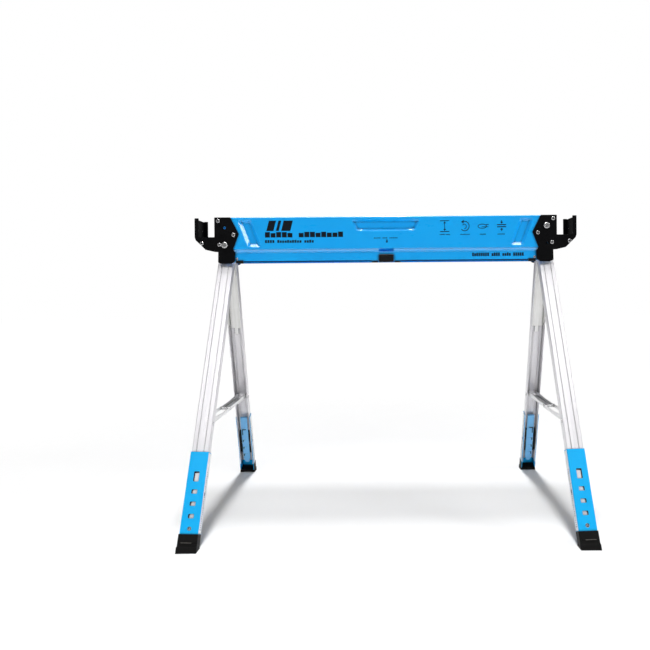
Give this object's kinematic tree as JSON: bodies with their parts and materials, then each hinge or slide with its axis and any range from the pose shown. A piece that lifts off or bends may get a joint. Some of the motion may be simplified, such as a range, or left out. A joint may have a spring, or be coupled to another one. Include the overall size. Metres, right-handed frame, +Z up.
{
  "type": "folding sawhorse",
  "caption": "Folding metal sawhorse: pressed steel beam with timber slots at both ends, on braced telescoping legs that swing up inside the beam.",
  "frame": {"origin": "on the floor, under the middle of the beam", "axes": "+X along the beam to the right seen from the front, -Y towards the front, +Z up"},
  "size_m": [1.085, 0.6892, 0.83],
  "materials": {
    "blue_paint": "satin powder coat",
    "black_paint": "semi-gloss black coat",
    "zinc_steel": "zinc plated, satin",
    "leg_steel": "bright galvanised, drawn grain along the leg",
    "foot_rubber": "moulded, matt",
    "black_plastic": "moulded, fine texture",
    "bright_steel": "bright zinc"
  },
  "bodies": {
    "beam": {"beam_shell": "blue_paint", "beam_rivets": "bright_steel", "edge_guards": "black_plastic", "pivot_bolts": "bright_steel", "latch_guide": "black_plastic", "end_bracket_left": "black_paint", "end_bracket_right": "black_paint", "timber_seat_left": "black_paint", "timber_seat_right": "black_paint"},
    "latch": {"latch_slider": "black_plastic"},
    "bush_left": {"pivot_bush_left": "bright_steel"},
    "yoke_left": {"yoke_left": "black_paint", "leg_hinge_pins_left": "bright_steel"},
    "leg_front_left": {"leg_front_left": "leg_steel", "leg_stiffener_front_left": "zinc_steel", "lever_holder_front_left": "black_plastic", "lever_spring_front_left": "bright_steel", "brace_pin_front_left": "bright_steel"},
    "sleeve_front_left": {"leg_sleeve_front_left": "blue_paint", "foot_front_left": "foot_rubber"},
    "lever_front_left": {"lock_lever_front_left": "blue_paint", "lock_pin_front_left": "bright_steel"},
    "brace_front_left": {"brace_front_left": "zinc_steel", "brace_rivets_left": "bright_steel"},
    "leg_rear_left": {"leg_rear_left": "leg_steel", "leg_stiffener_rear_left": "zinc_steel", "lever_holder_rear_left": "black_plastic", "lever_spring_rear_left": "bright_steel", "brace_pin_rear_left": "bright_steel"},
    "sleeve_rear_left": {"leg_sleeve_rear_left": "blue_paint", "foot_rear_left": "foot_rubber"},
    "lever_rear_left": {"lock_lever_rear_left": "blue_paint", "lock_pin_rear_left": "bright_steel"},
    "brace_rear_left": {"brace_rear_left": "zinc_steel", "brace_centre_pin_left": "bright_steel"},
    "bush_right": {"pivot_bush_right": "bright_steel"},
    "yoke_right": {"yoke_right": "black_paint", "leg_hinge_pins_right": "bright_steel"},
    "leg_front_right": {"leg_front_right": "leg_steel", "leg_stiffener_front_right": "zinc_steel", "lever_holder_front_right": "black_plastic", "lever_spring_front_right": "bright_steel", "brace_pin_front_right": "bright_steel"},
    "sleeve_front_right": {"leg_sleeve_front_right": "blue_paint", "foot_front_right": "foot_rubber"},
    "lever_front_right": {"lock_lever_front_right": "blue_paint", "lock_pin_front_right": "bright_steel"},
    "brace_front_right": {"brace_front_right": "zinc_steel", "brace_rivets_right": "bright_steel"},
    "leg_rear_right": {"leg_rear_right": "leg_steel", "leg_stiffener_rear_right": "zinc_steel", "lever_holder_rear_right": "black_plastic", "lever_spring_rear_right": "bright_steel", "brace_pin_rear_right": "bright_steel"},
    "sleeve_rear_right": {"leg_sleeve_rear_right": "blue_paint", "foot_rear_right": "foot_rubber"},
    "lever_rear_right": {"lock_lever_rear_right": "blue_paint", "lock_pin_rear_right": "bright_steel"},
    "brace_rear_right": {"brace_rear_right": "zinc_steel", "brace_centre_pin_right": "bright_steel"}
  },
  "joints": [
    {"name": "latch_pull", "type": "slide", "parent": "beam", "child": "latch", "axis": [0, -1, 0], "range_m": [0, 0.018], "stiffness_N_per_m": 150, "springref_m": -0.004},
    {"name": "fold_left", "type": "hinge", "parent": "beam", "child": "bush_left", "pos_m": [-0.4575, 0, 0.751], "axis": [0, -1, 0], "range_deg": [0, 64.7]},
    {"name": "swing_left", "type": "hinge", "parent": "bush_left", "child": "yoke_left", "pos_m": [-0.4575, 0, 0.751], "axis": [0, -1, 0], "range_deg": [0, 27]},
    {"name": "leg_hinge_front_left", "type": "hinge", "parent": "yoke_left", "child": "leg_front_left", "pos_m": [-0.45866, -0.01275, 0.712], "axis": [0.9996, 0, -0.0297], "range_deg": [0, 23.71]},
    {"name": "brace_hinge_front_left", "type": "hinge", "parent": "leg_front_left", "child": "brace_front_left", "pos_m": [-0.47152, -0.20307, 0.27863], "axis": [0.9996, 0, -0.0297], "range_deg": [0, 62.71]},
    {"name": "sleeve_slide_front_left", "type": "slide", "parent": "leg_front_left", "child": "sleeve_front_left", "axis": [-0.0272, -0.4019, -0.9153], "range_m": [0, 0.0855]},
    {"name": "lever_press_front_left", "type": "hinge", "parent": "leg_front_left", "child": "lever_front_left", "pos_m": [-0.47653, -0.27956, 0.10969], "axis": [-0.9996, 0, 0.0297], "range_deg": [0, 2.4], "stiffness_Nm_per_rad": 6},
    {"name": "leg_hinge_rear_left", "type": "hinge", "parent": "yoke_left", "child": "leg_rear_left", "pos_m": [-0.45866, 0.01275, 0.712], "axis": [-0.9996, 0, 0.0297], "range_deg": [0, 23.71]},
    {"name": "brace_hinge_rear_left", "type": "hinge", "parent": "leg_rear_left", "child": "brace_rear_left", "pos_m": [-0.47152, 0.20307, 0.27863], "axis": [-0.9996, 0, 0.0297], "range_deg": [0, 62.71]},
    {"name": "sleeve_slide_rear_left", "type": "slide", "parent": "leg_rear_left", "child": "sleeve_rear_left", "axis": [-0.0272, 0.4019, -0.9153], "range_m": [0, 0.0855]},
    {"name": "lever_press_rear_left", "type": "hinge", "parent": "leg_rear_left", "child": "lever_rear_left", "pos_m": [-0.47653, 0.27956, 0.10969], "axis": [0.9996, 0, -0.0297], "range_deg": [0, 2.4], "stiffness_Nm_per_rad": 6},
    {"name": "fold_right", "type": "hinge", "parent": "beam", "child": "bush_right", "pos_m": [0.4575, 0, 0.8], "axis": [0, 1, 0], "range_deg": [0, 64.7]},
    {"name": "swing_right", "type": "hinge", "parent": "bush_right", "child": "yoke_right", "pos_m": [0.4575, 0, 0.8], "axis": [0, 1, 0], "range_deg": [0, 27]},
    {"name": "leg_hinge_front_right", "type": "hinge", "parent": "yoke_right", "child": "leg_front_right", "pos_m": [0.46011, -0.01275, 0.712], "axis": [0.9996, 0, 0.0297], "range_deg": [0, 23.71]},
    {"name": "brace_hinge_front_right", "type": "hinge", "parent": "leg_front_right", "child": "brace_front_right", "pos_m": [0.47297, -0.20307, 0.27863], "axis": [0.9996, 0, 0.0297], "range_deg": [0, 62.71]},
    {"name": "sleeve_slide_front_right", "type": "slide", "parent": "leg_front_right", "child": "sleeve_front_right", "axis": [0.0272, -0.4019, -0.9153], "range_m": [0, 0.0855]},
    {"name": "lever_press_front_right", "type": "hinge", "parent": "leg_front_right", "child": "lever_front_right", "pos_m": [0.47799, -0.27956, 0.10969], "axis": [-0.9996, 0, -0.0297], "range_deg": [0, 2.4], "stiffness_Nm_per_rad": 6},
    {"name": "leg_hinge_rear_right", "type": "hinge", "parent": "yoke_right", "child": "leg_rear_right", "pos_m": [0.46011, 0.01275, 0.712], "axis": [-0.9996, 0, -0.0297], "range_deg": [0, 23.71]},
    {"name": "brace_hinge_rear_right", "type": "hinge", "parent": "leg_rear_right", "child": "brace_rear_right", "pos_m": [0.47297, 0.20307, 0.27863], "axis": [-0.9996, 0, -0.0297], "range_deg": [0, 62.71]},
    {"name": "sleeve_slide_rear_right", "type": "slide", "parent": "leg_rear_right", "child": "sleeve_rear_right", "axis": [0.0272, 0.4019, -0.9153], "range_m": [0, 0.0855]},
    {"name": "lever_press_rear_right", "type": "hinge", "parent": "leg_rear_right", "child": "lever_rear_right", "pos_m": [0.47799, 0.27956, 0.10969], "axis": [0.9996, 0, 0.0297], "range_deg": [0, 2.4], "stiffness_Nm_per_rad": 6}
  ],
  "couplings": [
    {"joint": "leg_hinge_front_left", "follows": "fold_left", "ratio": 0.36631},
    {"joint": "brace_hinge_front_left", "follows": "fold_left", "ratio": 0.96909},
    {"joint": "leg_hinge_rear_left", "follows": "fold_left", "ratio": 0.36631},
    {"joint": "brace_hinge_rear_left", "follows": "fold_left", "ratio": 0.96909},
    {"joint": "leg_hinge_front_right", "follows": "fold_right", "ratio": 0.36631},
    {"joint": "brace_hinge_front_right", "follows": "fold_right", "ratio": 0.96909},
    {"joint": "leg_hinge_rear_right", "follows": "fold_right", "ratio": 0.36631},
    {"joint": "brace_hinge_rear_right", "follows": "fold_right", "ratio": 0.96909}
  ]
}
